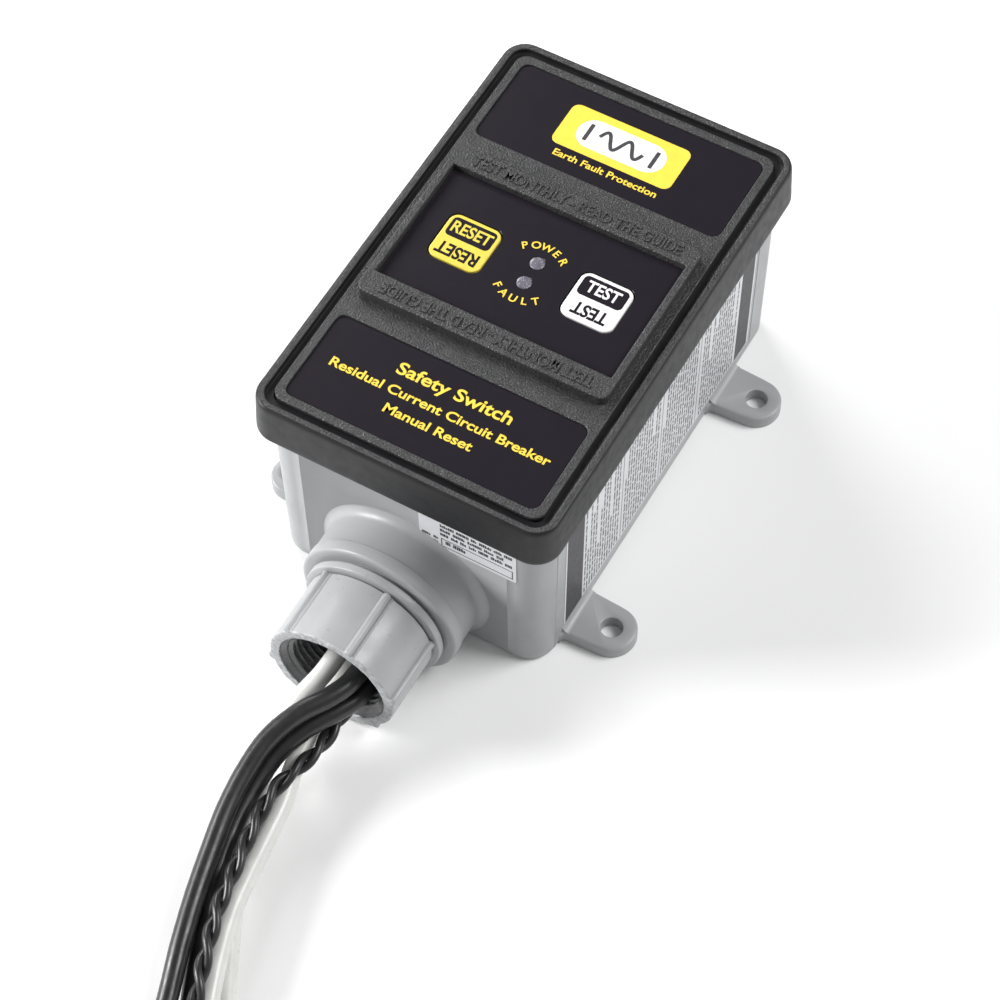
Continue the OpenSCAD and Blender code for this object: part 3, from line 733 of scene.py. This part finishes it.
cov.put(s.v, s.f, 0)
for x in (-29, 29):
    for y in (-45, 45):
        c = circle(3.5, 32, (x, y + SH))
        cov.put(*solid_loft([[(p[0], p[1], 55.6) for p in c], [(p[0], p[1], 63.6) for p in c]]))
for h in HOLES:
    c = circle(4.3, 32, h)
    cov.put(*solid_loft([[(p[0], p[1], 58.2) for p in c], [(p[0], p[1], 63.6) for p in c]]))
cov.make("cover_body", [BLACK, TEXT_BLACK], smooth=42, replaces=("cover",), slot="black_plastic")


# ---------------------------------------------------------------- words
def letters(text, size, bold=0.0, sx=1.0, spacing=1.0, thick=0.03, bevel=0.0):
    """Mesh of one line of the built-in font, centred on the origin, in millimetres."""
    cu = bpy.data.curves.new("t", "FONT")
    cu.body = text
    cu.size = size
    cu.align_x = "CENTER"
    cu.align_y = "CENTER"
    cu.offset = bold
    cu.space_character = spacing
    cu.extrude = thick
    cu.bevel_depth = bevel
    cu.resolution_u = 6
    o = bpy.data.objects.new("t", cu)
    bpy.context.scene.collection.objects.link(o)
    dg = bpy.context.evaluated_depsgraph_get()
    me = bpy.data.meshes.new_from_object(o.evaluated_get(dg))
    v = [Vector((p.co.x * sx, p.co.y, p.co.z)) for p in me.vertices]
    f = [tuple(q.vertices) for q in me.polygons]
    bpy.data.objects.remove(o)
    bpy.data.curves.remove(cu)
    bpy.data.meshes.remove(me)
    return v, f


def place(s, vf, x, y, z, deg=0.0, m=0):
    c, sn = math.cos(math.radians(deg)), math.sin(math.radians(deg))
    s.put([(x + p.x * c - p.y * sn, y + p.x * sn + p.y * c, z + p.z) for p in vf[0]], vf[1], m)


emb = Shape()
LINE = "TEST MONTHLY - READ THE GUIDE"
place(emb, letters(LINE, 4.6, 0.06, 0.80, 1.0, 0.22, 0.06), 0.5, SH + 22.6, 69.4)
place(emb, letters(LINE, 4.6, 0.06, 0.80, 1.0, 0.22, 0.06), 0.5, SH - 22.4, 69.4, 180)
emb.make("frame_words", TEXT_BLACK, smooth=40, slot="black_plastic")

# label plates and their print
low = plate((0, SH - 45.85, 34.75, 13.3, 2.35), 65.6, 66.0, bevel=0.06, steps=1)
low.make("lower_plate", LABEL, replaces=("lower_label",), slot="black_label")
pr = Shape()
place(pr, letters("Safety Switch", 5.0, 0.10, 1.2), 1.5, SH - 39.4, 66.02)
place(pr, letters("Residual Current Circuit Breaker", 3.75, 0.075, 1.2), 0.5, SH - 45.6, 66.02)
place(pr, letters("Manual Reset", 3.75, 0.075, 1.2), 0.5, SH - 51.0, 66.02)
pr.make("lower_label_print", YELLOW, smooth=0, slot="black_label")

top = plate((0, SH + 45.85, 34.75, 13.3, 2.35), 65.6, 66.0, bevel=0.06, steps=1)
top.make("upper_plate", LABEL, replaces=("upper_label",), slot="black_label")
bd = plate((0, 52.45, 17.0, 7.05, 2.2), 65.95, 66.05, bevel=0.04, steps=1)
place(bd, letters("Earth Fault Protection", 2.9, 0.055, 1.14), 0.4, 42.8, 66.02)
bd.make("badge", YELLOW, smooth=0, slot="black_label")
bw = plate((0, 52.45, 12.4, 4.7, 4.6), 66.0, 66.09, bevel=0.03, steps=1)
bw.make("badge_panel", WHITE, smooth=0, slot="white_label")
wave = Shape()
pts = []
for i in range(61):
    t = -1 + 2 * i / 60
    pts.append((t * 6.2, 52.45 + 2.3 * math.sin(t * 2 * math.pi)))
lft, rgt = [], []
for i, p in enumerate(pts):
    a, b = pts[max(i - 1, 0)], pts[min(i + 1, 60)]
    t = Vector((b[0] - a[0], b[1] - a[1])).normalized()
    lft.append((p[0] - t.y * 0.5, p[1] + t.x * 0.5))
    rgt.append((p[0] + t.y * 0.5, p[1] - t.x * 0.5))
outline = rgt + lft[::-1]
v1 = [(x, y, 66.07) for x, y in outline]
v2 = [(x, y, 66.12) for x, y in outline]
nn = len(outline)
fs = [(k, (k + 1) % nn, nn + (k + 1) % nn, nn + k) for k in range(nn)]
for k in range(60):
    fs.append((k, nn - 1 - k, nn - 2 - k, k + 1))
    fs.append((nn + k, nn + k + 1, nn + nn - 2 - k, nn + nn - 1 - k))
wave.put(v1 + v2, fs)
for x in (-9.4, 9.4):
    s = plate((x, 52.45, 0.55, 2.9, 0.3), 66.05, 66.12, bevel=0.02, steps=1)
    wave.put(s.v, s.f)
wave.make("badge_symbol", INK, smooth=0, slot="black_label")

# overlay in the window
ov = plate((0, SH + 0.28, 32.75, 19.02, 0.35), 66.9, 67.4, HOLE, bevel=0.05, steps=1)
ov.make("window_overlay", LABEL, replaces=("control_overlay",), slot="black_label")
arc = Shape()
AC = (0, SH - 0.1)
for word, a0, a1, flip in (("POWER", 128, 52, False), ("FAULT", 232, 308, True)):
    for i, ch in enumerate(word):
        a = a0 + (a1 - a0) * i / (len(word) - 1)
        R = 8.75
        x, y = AC[0] + R * math.cos(math.radians(a)), AC[1] + R * math.sin(math.radians(a))
        place(arc, letters(ch, 3.0, 0.05, 1.05), x, y, 67.42, (a + 90) if flip else (a - 90))
arc.make("indicator_words", YELLOW, smooth=0, slot="black_label")


# ---------------------------------------------------------------- keys
def key(x, y, name, word, color, slot, body, node):
    s = plate((x, y, 8.75, 8.75, 2.0), 61.6, 63.1, bevel=0.1, steps=1)
    t = plate((x, y, 7.25, 7.25, 2.6), 61.6, 67.5, bevel=0.3, steps=4, n=12)
    s.put(t.v, t.f)
    c = circle(2.0, 32, (x, y))
    s.put(*solid_loft([[(p[0], p[1], 60.2) for p in c], [(p[0], p[1], 61.8) for p in c]]))
    s.make(name + "_cap", color, body=body, replaces=(node,), slot=slot)
    d = plate((x, y + 3.15, 6.25, 3.05, 1.3), 67.45, 67.53, bevel=0.03, steps=1)
    place(d, letters(word, 5.2, 0.15, 0.84), x, y - 3.6, 67.51, 180)
    d.make(name + "_panel", LABEL, body=body, smooth=0, slot="black_label")
    e = Shape()
    place(e, letters(word, 4.9, 0.10, 0.86), x, y + 3.15, 67.545)
    e.make(name + "_word", color, body=body, smooth=0, slot=slot)


key(*KEYS[0], "reset_key", "RESET", KEYYEL, "yellow_key", "reset_button", "reset_key")
key(*KEYS[1], "test_key", "TEST", WHITE, "white_key", "test_button", "test_key")

for nm, (x, y) in zip(("power_lens", "fault_lens"), LENSES):
    s = Shape().put(*lathe([(0.001, 61.0), (2.0, 61.0), (2.0, 62.3), (2.8, 62.3), (2.8, 63.45), (2.0, 63.45),
                            (2.0, 67.2), (1.85, 67.36), (1.2, 67.42), (0.001, 67.45)], 48))
    s.moved(lambda p: Vector((p.x + x, p.y + y, p.z)))
    weld(s)
    s.make(nm + "_cap", LENS, smooth=50, replaces=(nm,), slot="lens_plastic")


# ---------------------------------------------------------------- wall labels
def bars(s, rects, at, m=0, thick=0.02, base=0.0):
    """Small printed bars. at turns (u, v, w) into a point; w is the height off the label."""
    for u0, u1, v0, v1 in rects:
        p = [(u0, v0), (u1, v0), (u1, v1), (u0, v1)]
        lo = [at(u, v, base) for u, v in p]
        hi = [at(u, v, base + thick) for u, v in p]
        vv = lo + hi
        s.put(vv, [(3, 2, 1, 0), (4, 5, 6, 7), (0, 1, 5, 4), (1, 2, 6, 5), (2, 3, 7, 6), (3, 0, 4, 7)], m)


def text_lines(u0, u1, v0, v1, pitch, height, rng, fill_share=0.93, bold=False):
    """Greeked paragraph: words along u, lines stepping down v."""
    out = []
    v = v1 - pitch
    while v > v0:
        u = u0
        end = u1 if rng.random() < 0.8 else u0 + (u1 - u0) * rng.uniform(0.35, 0.9)
        while u < end - 1:
            w = rng.uniform(1.2, 4.2)
            b = min(u + w, end)
            k = u
            while k < b - 0.25:
                g = min(rng.uniform(0.35, 0.75), b - k)
                hh = height * (1.0 if rng.random() < 0.75 else 0.72)
                out.append((k, k + g * 0.8, v, v + hh))
                k += g
            u = b + 0.55
        v -= pitch
    return out


def right_wall(u, v, w):
    """u runs up (+Z), v runs along +Y, w is off the wall."""
    return (wall_x(u) + 0.02 + w, v, u)


lab = Shape()
o = rrect(23.3, 50.25, 1.2, 6, (0, 0))
lo = [right_wall(p[0] + 28.8, p[1] + 4.0, 0.0) for p in o]
hi = [right_wall(p[0] + 28.8, p[1] + 4.0, 0.1) for p in o]
v, f = solid_loft([lo, hi])
lab.put(v, [tuple(reversed(q)) for q in f])
lab.make("side_label_sheet", PAPER, smooth=30, replaces=("side_label",), slot="white_label")
rng = random.Random(11)
ink = Shape()
bars(ink, [(6.4, 51.5, -46.2 + 0.6, -37.2), (6.4, 51.5, 46.4, 53.4)], right_wall, 1, 0.03, 0.1)
bars(ink, [(5.9, 6.15, -45.8, 53.6)], right_wall, 0, 0.03, 0.1)
for y in (-17.0, 3.6, 24.0):
    bars(ink, [(7, 51, y - 0.12, y + 0.12)], right_wall, 0, 0.03, 0.1)
for y0, y1 in ((-36.4, -17.8), (-16.2, 2.8), (4.4, 23.2), (24.8, 45.6)):
    bars(ink, text_lines(7.2, 51, y0, y1, 1.32, 0.72, rng), right_wall, 0, 0.02, 0.1)
ink.make("side_label_print", [INK2, INK], smooth=0, slot="white_label")


def front_wall(u, v, w):
    """u runs along +X, v runs up, w is off the wall."""
    return (u, -(wall_y(v) - SH) - 0.02 - w, v)


lab = Shape()
o = rrect(13.5, 10.3, 0.8, 6, (18.35, 47.8))
lo = [front_wall(p[0], p[1], 0.0) for p in o]
hi = [front_wall(p[0], p[1], 0.1) for p in o]
v, f = solid_loft([lo, hi])
lab.put(v, f)
lab.make("front_label_sheet", PAPER, smooth=30, replaces=("front_label",), slot="white_label")
ink = Shape()
bars(ink, [(11.0, 30.9, 38.6, 38.85), (11.0, 30.9, 41.9, 42.15), (11.0, 11.25, 38.6, 42.15), (30.65, 30.9, 38.6, 42.15)],
     front_wall, 0, 0.03, 0.1)
bars(ink, text_lines(12.2, 21.0, 38.9, 42.4, 2.4, 1.5, rng), front_wall, 0, 0.02, 0.1)
bars(ink, text_lines(5.6, 10.2, 38.6, 42.6, 1.75, 1.05, rng), front_wall, 0, 0.02, 0.1)
bars(ink, text_lines(10.8, 31.0, 42.8, 49.0, 1.9, 1.2, rng), front_wall, 0, 0.02, 0.1)
ink.make("front_label_print", INK, smooth=0, slot="white_label")

# ---------------------------------------------------------------- inner pieces keep their CAD shapes
INNER = {
    "rubber": (("lead_seal", "lid_gasket"), dict(color=(0.012, 0.012, 0.012), rough=0.7, grain=(0.8, 0.3))),
    "brass": (("cover_inserts", "terminal_blocks"), dict(color=(0.72, 0.53, 0.25), rough=0.32, metal=1.0,
              grain=(0.5, 0.3), streak=(1, 1, 0.1))),
    "zinc_steel": (("cover_screws", "board_screws", "reset_spring", "test_spring", "armature_spring", "relay_armature"),
              dict(color=(0.55, 0.56, 0.57), rough=0.34, metal=1.0, grain=(0.4, 0.3))),
    "board": (("circuit_board",), dict(color=(0.02, 0.16, 0.07), rough=0.35, grain=(0.6, 0.25),
              specks=(1.6, 0.68, (0.05, 0.28, 0.13)))),
    "dark_moulding": (("reset_switch", "test_switch", "relay_base", "control_chip", "rectifier_diodes"),
              dict(color=(0.03, 0.03, 0.032), rough=0.5, grain=(0.4, 0.35))),
    "red_plastic": (("reset_plunger", "test_plunger"), dict(color=(0.5, 0.04, 0.03), rough=0.4, grain=(0.4, 0.2))),
    "green_led": (("power_led",), dict(color=(0.2, 0.6, 0.28), rough=0.2, grain=(0.6, 0.1), coat=0.4)),
    "red_led": (("fault_led",), dict(color=(0.65, 0.08, 0.06), rough=0.2, grain=(0.6, 0.1), coat=0.4)),
    "ferrite": (("sense_core", "neutral_core"), dict(color=(0.06, 0.06, 0.065), rough=0.75, grain=(0.35, 0.5))),
    "enamelled": (("sense_winding", "neutral_winding", "relay_winding"),
              dict(color=(0.48, 0.17, 0.05), rough=0.3, metal=0.4, grain=(0.5, 0.9), depth=0.2, streak=(0.15, 0.15, 3))),
    "nylon": (("core_clamp", "relay_bobbin", "contact_carrier"), dict(color=(0.74, 0.71, 0.6), rough=0.45,
              grain=(0.7, 0.2))),
    "soft_iron": (("relay_core", "relay_yoke"), dict(color=(0.42, 0.43, 0.45), rough=0.42, metal=1.0,
              grain=(0.5, 0.35))),
    "contact_copper": (("moving_contacts", "fixed_contacts"), dict(color=(0.7, 0.4, 0.25), rough=0.3, metal=1.0,
              grain=(0.4, 0.3))),
    "blue_epoxy": (("varistor",), dict(color=(0.03, 0.1, 0.42), rough=0.3, grain=(1.5, 0.4), coat=0.3)),
    "film_box": (("film_capacitor",), dict(color=(0.7, 0.52, 0.12), rough=0.35, grain=(0.8, 0.2))),
    "sleeve": (("storage_capacitors",), dict(color=(0.02, 0.03, 0.1), rough=0.28, grain=(2.0, 0.2))),
    "resistor": (("dropper_resistors",), dict(color=(0.5, 0.35, 0.2), rough=0.5, grain=(0.5, 0.4))),
    "inner_black": (("inner_black_wires", "inner_pair"), dict(color=(0.011, 0.011, 0.012), rough=0.3, grain=(1.2, 0.3))),
    "inner_white": (("inner_white_wires",), dict(color=(0.7, 0.7, 0.68), rough=0.33, grain=(1.2, 0.2))),
}
for nm, (nodes, kw) in INNER.items():
    m = material(nm, **kw)
    for nd in nodes:
        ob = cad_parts[nd]
        if not ob.data.materials:
            ob.data.materials.append(m)
        for sl in ob.material_slots:
            sl.link = "OBJECT"
            sl.material = m

# ---------------------------------------------------------------- floor and lights
me = bpy.data.meshes.new("floor")
me.from_pydata([(-6, -6, 0), (6, -6, 0), (6, 6, 0), (-6, 6, 0)], [], [(0, 1, 2, 3)])
floor = bpy.data.objects.new("floor", me)
bpy.context.scene.collection.objects.link(floor)
floor.data.materials.append(material("floor", (0.86, 0.86, 0.86), 0.75, grain=(30, 0.02), mottle=(400, 0.01)))

world = bpy.data.worlds.new("world")
world.use_nodes = True
nt = world.node_tree
sky = nt.nodes["Background"]
# soft white surroundings with a dark panel overhead
tc = nt.nodes.new("ShaderNodeTexCoord")
dot = nt.nodes.new("ShaderNodeVectorMath")
dot.operation = "DOT_PRODUCT"
dot.inputs[1].default_value = Vector((-0.27, 0.47, 0.84)).normalized()
nt.links.new(tc.outputs["Generated"], dot.inputs[0])
mr = nt.nodes.new("ShaderNodeMapRange")
mr.interpolation_type = "SMOOTHSTEP"
mr.inputs["From Min"].default_value = 0.60
mr.inputs["From Max"].default_value = 0.93
mr.inputs["To Min"].default_value = 0.36
mr.inputs["To Max"].default_value = 0.05
nt.links.new(dot.outputs["Value"], mr.inputs["Value"])
nt.links.new(mr.outputs["Result"], sky.inputs["Strength"])
sky.inputs["Color"].default_value = (1, 1, 1, 1)
bpy.context.scene.world = world
bpy.context.scene.view_settings.view_transform = "Standard"


def area(name, loc, target, size, power, color=(1, 1, 1)):
    d = bpy.data.lights.new(name, "AREA")
    d.shape = "RECTANGLE"
    d.size, d.size_y = size
    d.energy = power
    d.color = color
    o = bpy.data.objects.new(name, d)
    bpy.context.scene.collection.objects.link(o)
    o.location = loc
    o.rotation_euler = (Vector(target) - Vector(loc)).to_track_quat("-Z", "Y").to_euler()


area("key_left", (-1.05, -0.50, 0.60), (0, 0, 0.03), (0.5, 0.5), 25)
area("back_left", (-0.52, 0.40, 0.46), (0, 0.02, 0.06), (0.30, 0.30), 3.0)
area("top_right", (0.80, 0.45, 1.10), (0, 0, 0.03), (0.7, 0.7), 17)
